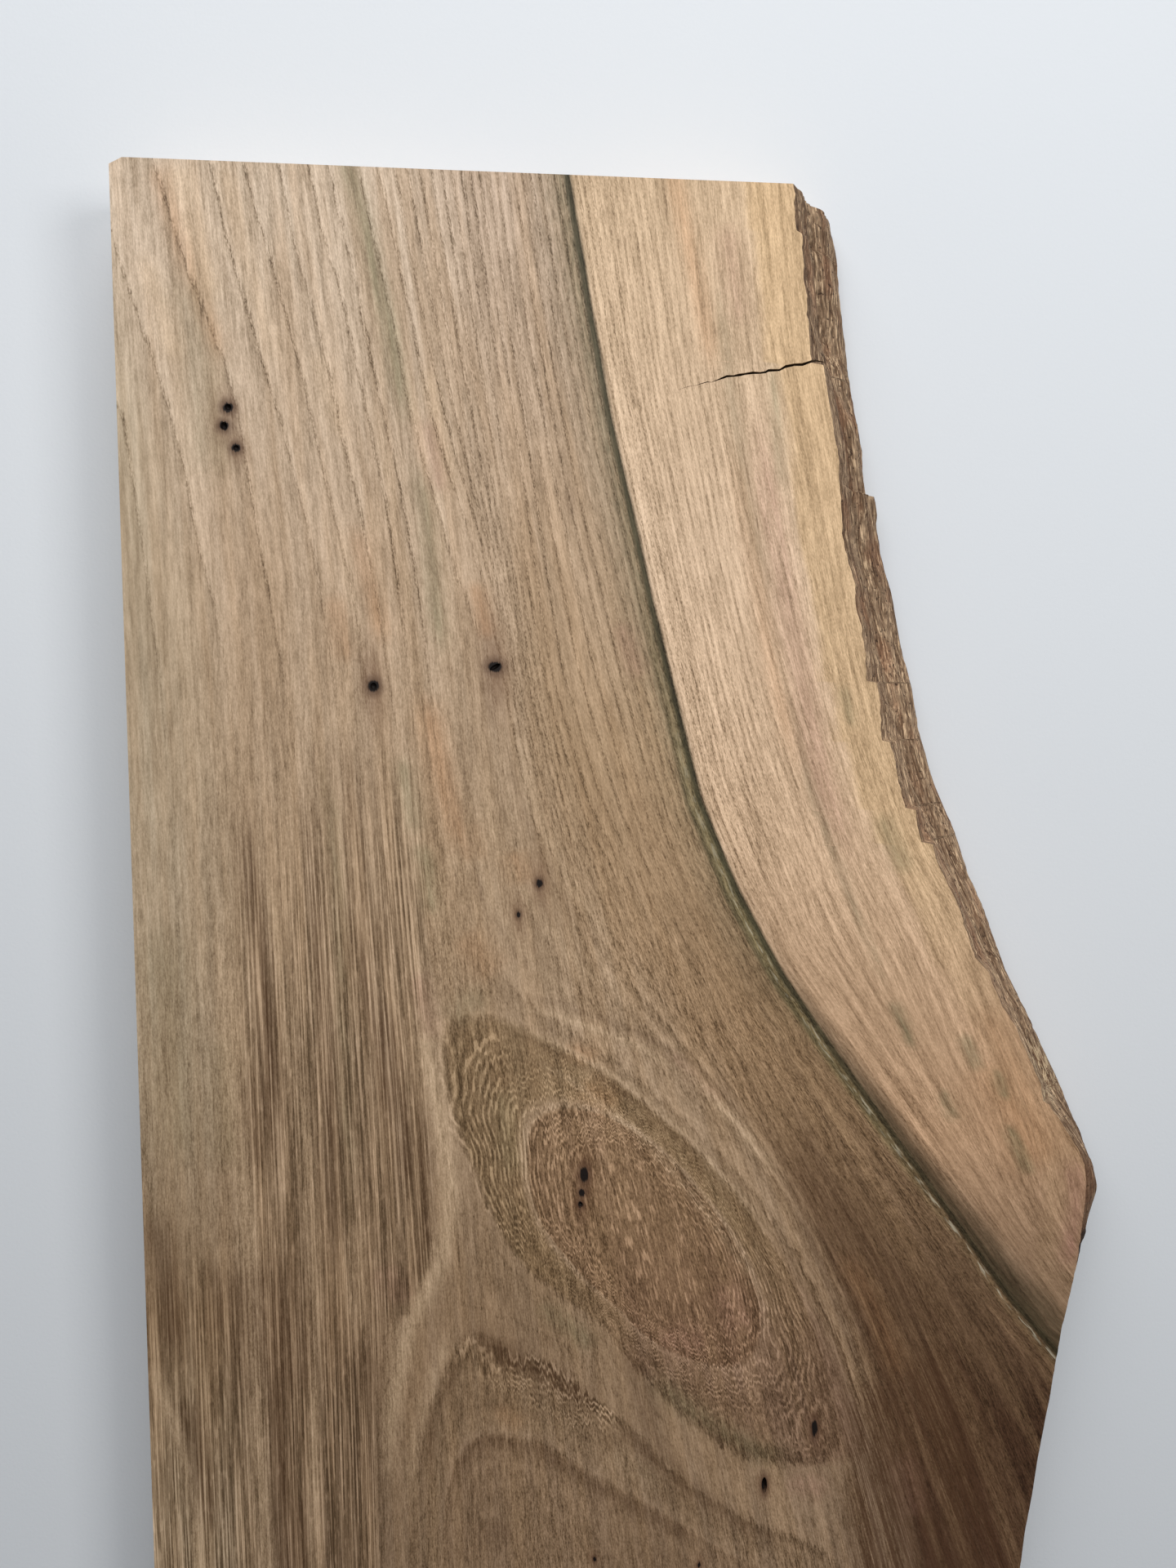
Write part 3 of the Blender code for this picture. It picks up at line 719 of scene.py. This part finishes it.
def dress(mesh):
    """Write what the materials read at each point of the mesh."""
    across, along, depth = board_places(vectors(mesh.vertices, "co"))
    put(mesh, "run", along)
    put(mesh, "over", across)
    put(mesh, "deep_in", depth)

    rings = Sheet(RINGS)
    count = rings.read(rings.value, across, along)
    lean_x = rings.read(rings.rise, across, along)
    lean_y = rings.read(rings.fall, across, along)
    sink = np.sqrt(np.clip(DEPTH_RATE ** 2 - lean_x ** 2 - lean_y ** 2, LEAST_SINK ** 2, None))
    put(mesh, "ring", count - sink * depth)
    put(mesh, "pitch", 1 / np.clip(np.hypot(lean_x, lean_y), 0.05, 1))

    fibres = Sheet(FIBRES)
    rate_x = fibres.read(fibres.rise, across, along)
    rate_y = fibres.read(fibres.fall, across, along)
    rate = np.clip(np.hypot(rate_x, rate_y), 0.05, 4)
    put(mesh, "strand", fibres.read(fibres.value, across, along))
    put(mesh, "climb", (rate_x * lean_y - rate_y * lean_x) / rate)
    put(mesh, "stretch", np.clip(-np.log2(rate), -1.5, 3))

    gap, side, _ = line_distance(HEART_LINE, across - LEAN * depth, along)
    put(mesh, "heart", gap * side)
    put(mesh, "band", gap * side / read_curve(BAND_WIDTH, along))
    put(mesh, "upper", 1 - smooth_step(225, 290, along))
    put(mesh, "to_edge", read_curve(FACE_EDGE, along) - across + LEAN * depth)

    for name, streaks in STREAKS.items():
        total = np.zeros(len(across))
        for strength, half, *points in streaks:
            gap, _, down = line_distance(points, across, along)
            ends = smooth_step(0, 0.22, down) * smooth_step(0, 0.22, 1 - down)
            ends = np.where((points[1] <= 5) & (down < 0.5), 1, ends)
            ends = np.where((points[-1] >= 440) & (down > 0.5), 1, ends)
            total = np.maximum(total, strength * ends * np.exp(-(gap / half) ** 2))
        put(mesh, name, total * np.clip(1 - depth / 25, 0.2, 1))

    # Where the figure is light and dark stripes along the fibres.
    left = 1 - smooth_step(84, 88, across)
    stripes = smooth_step(165, 235, along + 0.5 * across - 25) * left * smooth_step(24, 34, across)
    low_left = smooth_step(310, 350, along) * (1 - smooth_step(26, 36, across)) * 0.9
    inside = 1 - smooth_step(0, 4, across - read_curve(STRIPES_END, along))
    stripes = np.maximum(stripes * np.where(along > 345, inside, 1), low_left)
    put(mesh, "stripes", stripes * (1 + 0.35 * smooth_step(350, 390, along)))

    curls = np.zeros(len(across))
    for strength, half, *points in CURLS:
        gap, _, _ = line_distance(points, across, along)
        curls = np.maximum(curls, strength * np.exp(-(gap / half) ** 4))
    put(mesh, "curls", curls)
    gap, side, _ = line_distance(ISLAND_FOOT, across, along)
    put(mesh, "isle", smooth_step(-1.5, 1.5, gap * side))
    put(mesh, "left", (1 - smooth_step(-0.4, 1.4, count)) * (across < 70))
    plain = smooth_step(5, 5.3, count) * (1 - smooth_step(6, 7, count))
    put(mesh, "plain", plain * smooth_step(240, 260, along))

    # Where painted shade darkens the walls of the check.
    gap, _, _ = line_distance([c[:2] for c in CHECK], across, along)
    put(mesh, "crack_shade", np.exp(-(gap / 0.9) ** 4))
    halo = np.zeros(len(across))
    for kx, ky, wide_by, _, run in KNOTS:
        lean = (across - kx - 0.06 * (along - ky)) / (1.8 * wide_by + 0.5)
        halo = np.maximum(halo, np.exp(-lean ** 2 - ((along - ky) / run) ** 2))
    put(mesh, "halo", halo * np.clip(1 - depth / 12, 0, 1))


def linear(red, green, blue):
    """A colour seen on a screen, 0 to 255, as the amounts of light that the shader takes."""
    def one(v):
        v /= 255
        return v / 12.92 if v <= 0.04045 else ((v + 0.055) / 1.055) ** 2.4
    return (one(red), one(green), one(blue))


def operation(kind, **settings):
    """A method that adds one Math node."""
    def method(self, *others):
        return self.nodes.math(kind, self, *others, **settings)
    return method


class Value:
    """A number or colour inside a material. Sums, products and the like add the nodes for them."""

    def __init__(self, nodes, socket):
        self.nodes = nodes
        self.socket = socket

    __add__ = operation("ADD")
    __sub__ = operation("SUBTRACT")
    __mul__ = operation("MULTIPLY")
    __truediv__ = operation("DIVIDE")
    __pow__ = operation("POWER")
    __abs__ = operation("ABSOLUTE")
    # How far it is past a whole number, the larger of two, and a product kept between 0 and 1.
    fract = operation("FRACT")
    most = operation("MAXIMUM")
    part = operation("MULTIPLY", clamp=True)

    def __rsub__(self, other):
        return self.nodes.math("SUBTRACT", other, self)

    def map(self, a, b, c, d, kind="LINEAR"):
        """From c to d as it goes from a to b, and level beyond."""
        node = self.nodes.add("ShaderNodeMapRange", interpolation_type=kind, clamp=True)
        for key, value in zip(("Value", "From Min", "From Max", "To Min", "To Max"), (self, a, b, c, d)):
            self.nodes.feed(node.inputs[key], value)
        return Value(self.nodes, node.outputs[0])

    def rise(self, a, b):
        return self.map(a, b, 0, 1)

    def fall(self, a, b):
        return self.map(a, b, 1, 0)

    def fade(self, a, b):
        """A fall with soft ends."""
        return self.map(a, b, 1, 0, "SMOOTHSTEP")

    def sway(self, a, b, reach):
        """As far below 0 as above it."""
        return self.map(a, b, -reach, reach)

    def blend(self, a, b):
        """The number a where this is 0, and b where it is 1."""
        return self.nodes.mix(self, a, b, "FLOAT")

    def tint(self, share, colour):
        """This colour, turned by a share towards another: a value, or a colour seen on a screen."""
        other = colour if isinstance(colour, Value) else linear(*colour)
        return self.nodes.mix(share, self, other)


class Nodes:
    """One material, and short calls for its nodes."""

    def __init__(self, name):
        self.material = bpy.data.materials.new(name)
        self.material.use_nodes = True
        self.tree = self.material.node_tree
        self.tree.nodes.clear()

    def add(self, kind, **settings):
        node = self.tree.nodes.new(kind)
        for key, value in settings.items():
            setattr(node, key, value)
        return node

    def feed(self, socket, value):
        """Join a value to a socket, or set the socket to a constant."""
        if isinstance(value, Value):
            self.tree.links.new(value.socket, socket)
        elif socket.type == "RGBA":
            socket.default_value = (*value, 1)
        else:
            socket.default_value = value

    def fed(self, kind, values, out=0, **settings):
        """What a new node gives when its first sockets get these values."""
        node = self.add(kind, **settings)
        for socket, value in zip(node.inputs, values):
            self.feed(socket, value)
        return Value(self, node.outputs[out])

    def math(self, kind, *values, clamp=False):
        return self.fed("ShaderNodeMath", values, operation=kind, use_clamp=clamp)

    def vector(self, x, y, z):
        return self.fed("ShaderNodeCombineXYZ", (x, y, z))

    def vector_math(self, kind, *values):
        out = "Value" if kind == "LENGTH" else "Vector"
        return self.fed("ShaderNodeVectorMath", values, out, operation=kind)

    def read(self, name):
        return self.fed("ShaderNodeAttribute", (), "Fac", attribute_name=name)

    def noise(self, vector, detail=1, scale=1):
        node = self.add("ShaderNodeTexNoise")
        for key, value in (("Vector", vector), ("Scale", scale), ("Detail", detail)):
            self.feed(node.inputs[key], value)
        return Value(self, node.outputs["Fac"])

    def noise_at(self, x, y, z, detail=1):
        return self.noise(self.vector(x, y, z), detail)

    def mix(self, share, a, b, kind="RGBA"):
        """From a to b by a share: colours, or numbers where the kind is FLOAT."""
        node = self.add("ShaderNodeMix", data_type=kind, clamp_factor=True)
        first, out = (2, 0) if kind == "FLOAT" else (6, 2)
        for i, value in ((0, share), (first, a), (first + 1, b)):
            self.feed(node.inputs[i], value)
        return Value(self, node.outputs[out])

    def ramp(self, value, low, high, stops):
        """A number or colour that changes with a value: stops are (place, number or colour)."""
        node = self.add("ShaderNodeValToRGB")
        self.feed(node.inputs[0], value.rise(low, high))
        marks = node.color_ramp.elements
        marks.remove(marks[1])
        for i, (at, level) in enumerate(stops):
            spot = (at - low) / (high - low)
            mark = marks.new(spot) if i else marks[0]
            mark.position = spot
            mark.color = (*linear(*level), 1) if isinstance(level, tuple) else (level, level, level, 1)
        return Value(self, node.outputs[0])

    def finish(self, colour, rough, height, relief, strength):
        """Close the material: a relief is how high the bumps are, in metres."""
        bump = self.add("ShaderNodeBump")
        for key, value in (("Strength", strength), ("Distance", relief), ("Height", height)):
            self.feed(bump.inputs[key], value)
        shader = self.add("ShaderNodeBsdfPrincipled")
        self.feed(shader.inputs["Base Color"], colour)
        self.feed(shader.inputs["Roughness"], rough)
        self.feed(shader.inputs["Specular IOR Level"], SHINE)
        self.tree.links.new(bump.outputs[0], shader.inputs["Normal"])
        out = self.add("ShaderNodeOutputMaterial")
        self.tree.links.new(shader.outputs[0], out.inputs["Surface"])
        return self.material


class Grain:
    """Noise that is drawn out along the fibres, and keeps its width where the fibres spread."""

    def __init__(self, n):
        self.n = n
        self.strand = n.read("strand")
        self.run = n.read("run")
        self.depth = n.read("deep_in")
        stretch = n.read("stretch")
        self.floor = n.math("FLOOR", stretch)
        self.share = stretch - self.floor
        self.power = n.math("POWER", 2, self.floor)

    def noise(self, width, length, seed, detail=2):
        found = []
        for power, shift in ((self.power, 0), (self.power * 2, 1)):
            wide = self.strand * power * (1 / width)
            far = self.run * (1 / length) + (self.floor + shift) * LAYER_APART
            low = self.depth * (1 / width) + seed
            found.append(self.n.noise_at(wide, far, low, detail))
        return self.share.blend(*found)


class Wood:
    """What the wood's colours and tones are worked out from at each point."""

    def __init__(self, n):
        self.n = n
        g = Grain(n)
        self.run = g.run
        self.depth = g.depth
        self.over = n.read("over")
        self.fine = g.noise(0.42, 4.5, 3.1)
        self.hair = g.noise(0.30, 0.9, 11.7, 1)
        self.cord = g.noise(1.1, 14, 21.3)
        self.wide = g.noise(5, 80, 31.9)
        self.streak = g.noise(2, 55, 71.3)
        self.stripe = g.noise(0.6, 55, 47)
        self.dash = g.noise(0.8, 5, 57, 1)
        tooth = g.noise(1.1, 20, 63, 1)

        # The ring count, ragged as the fibres carry it, and the distance in mm from the nearest ring line.
        self.ring = n.read("ring")
        self.pitch = n.read("pitch")
        jag = (tooth - 0.5) * 11 * n.read("climb") + (self.fine - 0.5) * 1.3 / self.pitch
        self.ragged = self.ring + jag
        self.off = ((self.ragged + 0.5).fract() - 0.5) * self.pitch

        # The figure's lower part, the rings inside it, and the board's dark corner.
        self.low = self.run.rise(215, 255) * self.over.rise(78, 86)
        self.inner = self.low * self.ring.fall(13, 18)
        self.corner = self.run.rise(320, 360) * self.over.rise(210, 235)
        self.isle = n.read("isle")
        self.left = n.read("left")
        self.plain = n.read("plain")
        self.upper = n.read("upper")
        self.pale = n.read("pale")
        self.stripes = n.read("stripes") * self.pale.map(0, 0.8, 1, 0.3)
        self.heart = n.read("heart") + (self.cord - 0.5) * 0.7
        self.sap = self.heart.rise(-0.15, 0.25)


def ring_lines(w):
    """The dark line at each ring, and the change of tone from one line to the next."""
    wobble = w.n.noise_at(w.ragged, (w.run + w.over * 0.3) * 0.012, 9)
    line = abs(w.off).fade(0.15, 0.8) * wobble.map(0.3, 0.6, 0.45, 1)
    saw = w.ragged.fract().map(0, 1, 1, -1)
    middle = w.run.rise(105, 175) * w.ring.fall(7.5, 9.5)
    faint = (w.inner * 0.9).most(middle * 0.85).most(w.corner).most(w.run.map(170, 260, 0, 0.7))
    return line * (1 - faint), saw * (1 - faint) * (1 - w.low * 0.6)


def curl_lines(w):
    """Thin pale lines that follow the rings in dashes, and short dashes at the island's heart."""
    drift = w.n.noise_at(w.over * 0.045, w.run * 0.045, 5)
    weave = abs((w.ragged * 1.9 + drift * 5).fract() - 0.5)
    breaks = w.n.noise_at(w.ragged * 2.2, w.over * 0.21, w.run * 0.21)
    curled = weave.fade(0.11, 0.22) * breaks.map(0.44, 0.54, 0.04, 0.85) - weave.rise(0.22, 0.40) * 0.22
    dashes = w.dash.map(0.52, 0.60, -0.12, 0.6) * w.streak.rise(0.42, 0.5)
    curled = (w.isle * w.ring.rise(-4.5, -7)).blend(curled, dashes)
    return curled * (w.n.read("curls") * (1 - w.plain))


def base_colour(w):
    """Heartwood and sapwood, and the colours of the island in the figure."""
    middle, left_side, outer_side, sapwood = (w.n.ramp(w.run, 0, LENGTH, stops) for stops in BASE_COLOURS)
    colour = middle.tint(w.left, left_side)
    colour = colour.tint(w.ring.rise(8, w.run.map(250, 340, 17, 11)), outer_side)
    dusk = w.run.rise(320, 370) * w.over.rise(120, 150) * w.ring.fall(5.2, 7.5)
    olive = w.low * (w.ring.rise(-1, 0) * w.ring.fall(4.6, 5.2)) * w.isle.blend(0.12, 0.45)
    colour = colour.tint(olive * (1 - dusk * 0.85), (140, 112, 74))
    ruddy = w.low * w.ring.rise(-1.3, -1.7)
    colour = colour.tint(ruddy * w.isle.blend(0.1, 0.4), (146, 106, 72))
    colour = colour.tint(dusk * w.isle * 0.4, (134, 98, 80))
    colour = colour.tint(w.wide.map(0.42, 0.62, 0, 0.3), (170, 136, 100))

    to_edge = w.n.read("to_edge") + (w.wide - 0.5) * 8
    yellow = to_edge.fade(12, 17) * w.run.map(200, 262, 1, 0.15)
    return colour.tint(w.sap, sapwood.tint(yellow * 0.75, (203, 169, 127)))


def with_streaks(w, colour):
    share = w.run.map(150, 260, 1, 0.6).most(w.sap * 1.1) * w.streak.map(0.35, 0.6, 0.7, 1.25)
    colour = colour.tint(w.n.read("rust") * 0.5 * share, (180, 126, 80))
    colour = colour.tint(w.n.read("mauve") * 0.55 * share, (168, 122, 106))
    colour = colour.tint(w.n.read("stain") * 0.66 * share, (116, 113, 82))
    return colour.tint(w.pale.part(0.62), (204, 174, 140))


def with_heart_line(w, colour):
    """The olive zone: left of the line at the top, right of it further down."""
    left = w.heart.rise(-20, -0.5) * w.heart.fall(-0.2, 0.2)
    left = left * left * (w.upper * w.fine.map(0.3, 0.6, 1, 0.5))
    colour = colour.tint(left * 0.9, (92, 88, 64))
    band = w.n.read("band") + (w.cord - 0.5) * 0.35
    right = band.fade(0.15, 1) * w.heart.rise(-0.6, 0.4) * w.streak.map(0.35, 0.6, 0.7, 1)
    colour = colour.tint(right * (1 - w.upper * 0.8) * 0.88, (58, 49, 30))
    double = w.run.map(120, 200, 0.15, 0.85) * w.run.map(290, 330, 1, 0.2)
    between = abs(w.heart + 2.6).fade(0.8, 3.4)
    colour = colour.tint(between * double * 0.6, (120, 110, 72))
    second = abs(w.heart + w.upper.blend(3, 4.4)).fade(0.3, 1.3)
    colour = colour.tint(second * double * 0.5, (66, 62, 40))
    return colour.tint(abs(w.heart + 0.7).fade(0.4, 1.7) * 0.8, (54, 51, 33))


def slow_tone(w):
    """How light each ring and each part of the face is: 1 leaves the colour as it is."""
    tone = w.low.blend(1, w.n.ramp(w.ragged, -10, 16, RING_TONES) * 2)
    own = w.n.noise_at(w.ragged * 0.9, w.run * 0.004, 2)
    tone = tone + own.sway(0.3, 0.7, 0.5) * (w.low.blend(0.12, 0.26) * (1 - w.corner))
    tone = tone + w.run.map(0, 340, 0.19, -0.05) + w.plain * 0.07
    tone = tone + w.sap * w.run.map(120, 240, 0.05, 0)
    lit = w.ring.rise(6.5, 9) * w.ring.fall(13, 19) * w.run.rise(190, 240)
    tone = tone + lit * w.run.fall(290, 340) * 0.08
    tone = tone + w.ring.rise(7, 10) * (1 - w.sap) * w.run.map(60, 110, 0, 0.06)
    tone = tone + w.low * (1 - w.isle) * w.run.map(350, 380, 0, 0.10)
    return tone - w.ring.rise(12, 20) * (1 - w.sap) * w.run.map(220, 300, 0, 0.10)


def pore_share(w):
    """How strong pores and fibres are drawn."""
    share = w.run.map(120, 250, 0.55, 1) - (w.plain * 0.2 + w.left * 0.25)
    share = share.most(w.sap * 0.6) * (1 - w.sap * w.run.map(180, 250, 0.1, 0.5))
    return share * (1 - w.stripes.part(0.5))


def with_grain(w, tone, line, saw):
    """The tone with its pores, fibres, ring lines, stripes and curls."""
    share = pore_share(w)
    tone = tone + w.fine.sway(0.30, 0.70, 0.40) * share + w.hair.sway(0.30, 0.70, 0.32) * share
    tone = tone + w.cord.sway(0.30, 0.70, 0.23) + w.streak.sway(0.30, 0.70, 0.20)
    tone = tone + w.dash.rise(0.56, 0.66) * w.run.map(120, 300, 0.03, 0.20) * share
    weight = w.sap.blend(1, w.n.read("heart").map(4, 48, 0.9, 0.25))
    tone = tone - line * weight * w.hair.map(0.60, 0.40, 0.17, 0.52)
    tone = tone + saw * weight * w.pitch.map(2, 6, 0.09, 0.15)
    tone = tone - abs(w.off).fade(0.15, 0.55) * w.inner * w.ring.rise(4.8, 5.4) * 0.16
    striped = w.stripe.rise(0.53, 0.58) * 0.6 + w.stripe.rise(0.50, 0.41) * -0.42
    striped = striped + w.dash.rise(0.55, 0.62) * 0.24 + w.wide.sway(0.38, 0.62, 0.16)
    return (tone + (striped - 0.08) * w.stripes + curl_lines(w)).most(0.3)


def with_knots(w, colour):
    colour = colour.tint(w.n.read("halo") * 0.6, (112, 76, 52))
    spot = w.n.vector(w.over + (w.cord - 0.5) * 1.5, w.run + (w.fine - 0.5) * 2, 0)
    around, core = 0, 0
    for across, along, half_width, half_length, _ in KNOTS:
        away = w.n.vector_math("SUBTRACT", spot, (across, along, 0))
        away = w.n.vector_math("MULTIPLY", away, (1 / half_width, 1 / half_length, 0))
        away = w.n.vector_math("LENGTH", away)
        around = away.fade(0.9, 2.6).most(around)
        core = away.fade(0.75, 1.15).most(core)
    near = w.depth.fall(2, 6)
    colour = colour.tint(around * near * 0.6, (84, 58, 44))
    return colour.tint(core * near, (28, 21, 18))


def with_bast_end(w, colour):
    """The bast's own end, beside the sapwood at the crosscut."""
    skin = w.depth * 0.65 + CROSSCUT_WIDTH - (w.over + (w.cord - 0.5) * 3)
    skin = skin.fall(3, 5) * w.run.fall(0.1, 0.4) * w.depth.rise(0.2, 1)
    return colour.tint(skin, w.n.mix(w.hair.rise(0.4, 0.6), linear(104, 74, 52), linear(160, 126, 94)))


def elm_wood():
    n = Nodes("elm_wood")
    w = Wood(n)
    line, saw = ring_lines(w)
    colour = with_heart_line(w, with_streaks(w, base_colour(w)))
    tone = with_grain(w, slow_tone(w), line, saw)
    # Darker wood is warmer.
    colour = n.vector_math("MULTIPLY", colour, n.vector(tone ** 0.95, tone ** 1.03, tone ** 1.16))

    deep = n.read("deep").part(w.stripe.map(0.38, 0.60, 1.15, 0.35))
    colour = colour.tint(deep * 0.8, (84, 56, 36))
    glint = abs(w.heart + 2.6).fall(0.2, 0.9) * w.dash.rise(0.51, 0.59) * w.run.map(150, 250, 0.1, 1)
    colour = with_knots(w, colour.tint(glint * 0.6, (200, 190, 166)))
    # Painted shade: the check's walls below the face are darkened.
    crack_shade = n.read("crack_shade") * (w.depth.rise(0.05, 0.9) * w.depth.fall(9.5, 11))
    colour = with_bast_end(w, colour.tint(crack_shade * 0.9, (42, 28, 20)))
    height = w.fine * 0.7 + w.hair * 0.6 - line * 0.4
    return n.finish(colour, w.fine.map(0.3, 0.7, 0.52, 0.66), height, 0.00015, 0.7)


def bast():
    n = Nodes("elm_bast")
    run = n.read("run")
    depth = n.read("deep_in")
    edge = n.read("to_edge")
    bent = n.noise_at(edge * 0.12, run * 0.05, depth * 0.12, 2)
    fine = n.noise_at(edge * 1.9 + bent * 3, run * 0.22, depth * 1.9, 3)
    strand = n.noise_at(edge * 0.7 + bent * 3, run * 0.06, depth * 0.7, 3)
    crumb = n.noise_at(edge * 0.9, run * 0.8, depth * 0.9, 3)
    layer = n.noise_at(depth * 0.45, run * 0.012, 4, 2)
    colour = n.mix(strand.rise(0.38, 0.62), linear(124, 96, 72), linear(178, 148, 118))
    colour = colour.tint(fine.rise(0.52, 0.66), (206, 176, 142))
    colour = colour.tint(layer.rise(0.5, 0.38) * 0.6, (96, 68, 48))
    colour = colour.tint(bent.rise(0.52, 0.66) * 0.4, (150, 104, 76))

    light = fine.map(0.32, 0.68, 0.56, 1.32) * (run.map(110, 150, 1, 1.16) * run.map(285, 305, 1, 0.86))
    colour = n.vector_math("MULTIPLY", colour, n.vector(light, light, light))
    colour = colour.tint(crumb.rise(0.60, 0.68) * 0.8, (58, 40, 30))
    # Painted shade: a thin dark band on the bast just below the face's edge.
    lip_shade = depth.fall(0.2, 2.2) * strand.map(0.4, 0.6, 0.5, 1)
    colour = colour.tint(lip_shade * 0.5, (92, 66, 46))
    # Painted shade: the bast is darkened where its surface curves in.
    hollow_shade = n.fed("ShaderNodeNewGeometry", (), "Pointiness").rise(0.48, 0.40)
    colour = colour.tint(hollow_shade, (52, 37, 27))
    straw = abs(run - 279).fall(6, 12) * fine.rise(0.50, 0.58)
    colour = colour.tint(straw * 0.75, (214, 190, 154))
    rim = run.rise(296, 312) * strand.map(0.4, 0.6, 0.2, 0.6)
    colour = colour.tint(rim, (92, 60, 44))
    bark = abs(run - ((crumb - 0.5) * 16 + 334.5)).fall(3.5, 5.5)
    colour = colour.tint(bark * 0.85, (36, 27, 22))
    return n.finish(colour, 0.85, fine + strand + crumb * -0.6, 0.0008, 0.9)


def floor_material():
    n = Nodes("pale_floor")
    spot = n.fed("ShaderNodeTexCoord", (), "Object")
    soft = n.noise(spot, 2, 3)
    colour = n.mix(soft, (0.785, 0.812, 0.845), (0.815, 0.842, 0.875))
    return n.finish(colour, 0.8, n.noise(spot, 2, 900), 0.0001, 0.4)


def bast_faces(mesh):
    """Which faces show bast: the live edge's, below the planed face."""
    across, along, depth = board_places(vectors(mesh.polygons, "center"))
    live = (along < LIVE_END - BAST_STOP) & (along > SKIN)
    live &= across > read_curve(FACE_EDGE, along) - BAST_MARGIN
    return live & (depth > SKIN) & (depth < THICKNESS - SKIN)


def camera():
    """The photo's own view: the angles turn the board's axes into the picture's."""
    pitch, yaw, roll = (math.radians(angle) for angle in CAMERA_TURN)
    look = Matrix.Rotation(roll, 3, "Z") @ Matrix.Rotation(pitch, 3, "X") @ Matrix.Rotation(yaw, 3, "Y")
    flip = Matrix(((1, 0, 0), (0, -1, 0), (0, 0, -1)))
    turn = (flip @ look @ flip).transposed()
    data = bpy.data.cameras.new("camera")
    data.sensor_width = SENSOR
    data.lens = SENSOR * FOCAL_PIXELS / PHOTO_PIXELS
    data.clip_start = 0.01
    ob = link("camera", data)
    ob.matrix_world = Matrix.Translation(Vector(place(*CAMERA_PLACE))) @ turn.to_4x4()
    bpy.context.scene.camera = ob


def lamp(name, where, target, size, power, tint):
    data = bpy.data.lights.new(name, "AREA")
    data.shape = "SQUARE"
    data.size = size
    data.energy = power
    data.color = tint
    ob = link(name, data)
    ob.location = where
    ob.rotation_mode = "QUATERNION"
    ob.rotation_quaternion = (Vector(target) - Vector(where)).to_track_quat("-Z", "Y")


def sky(colour, strength):
    world = bpy.data.worlds.new("world")
    world.use_nodes = True
    background = world.node_tree.nodes["Background"]
    background.inputs[0].default_value = (*colour, 1.0)
    background.inputs[1].default_value = strength
    bpy.context.scene.world = world


mesh = cut(slab(), openings())
mesh.name = "elm_board"
dress(mesh)
mesh.materials.clear()
mesh.materials.append(elm_wood())
mesh.materials.append(bast())
mesh.polygons.foreach_set("material_index", bast_faces(mesh).astype(np.int32))
mesh.polygons.foreach_set("use_smooth", np.ones(len(mesh.polygons), bool))
mesh.set_sharp_from_angle(angle=math.radians(SHARP))
board = link("elm_board", mesh)
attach(board, "root")
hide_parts("elm_offcut")

floor_mesh = bpy.data.meshes.new("floor")
corners = [(x * FLOOR_HALF, y * FLOOR_HALF, 0) for x, y in ((-1, -1), (1, -1), (1, 1), (-1, 1))]
floor_mesh.from_pydata(corners, [], [(0, 1, 2, 3)])
floor_mesh.materials.append(floor_material())
floor = link("floor", floor_mesh)
floor.location.z = -FLOOR_DROP

camera()
lamp("window", (0.53, 0.25, 0.87), (0.08, 0.12, 0.0), 0.36, 3.2, (1.0, 0.99, 0.97))
lamp("room", (-0.20, 0.89, 0.81), (0.0, 0.08, 0.0), 1.2, 13.0, (0.97, 0.985, 1.0))
sky((0.9, 0.95, 1.0), 0.09)
bpy.context.scene.view_settings.view_transform = "Standard"
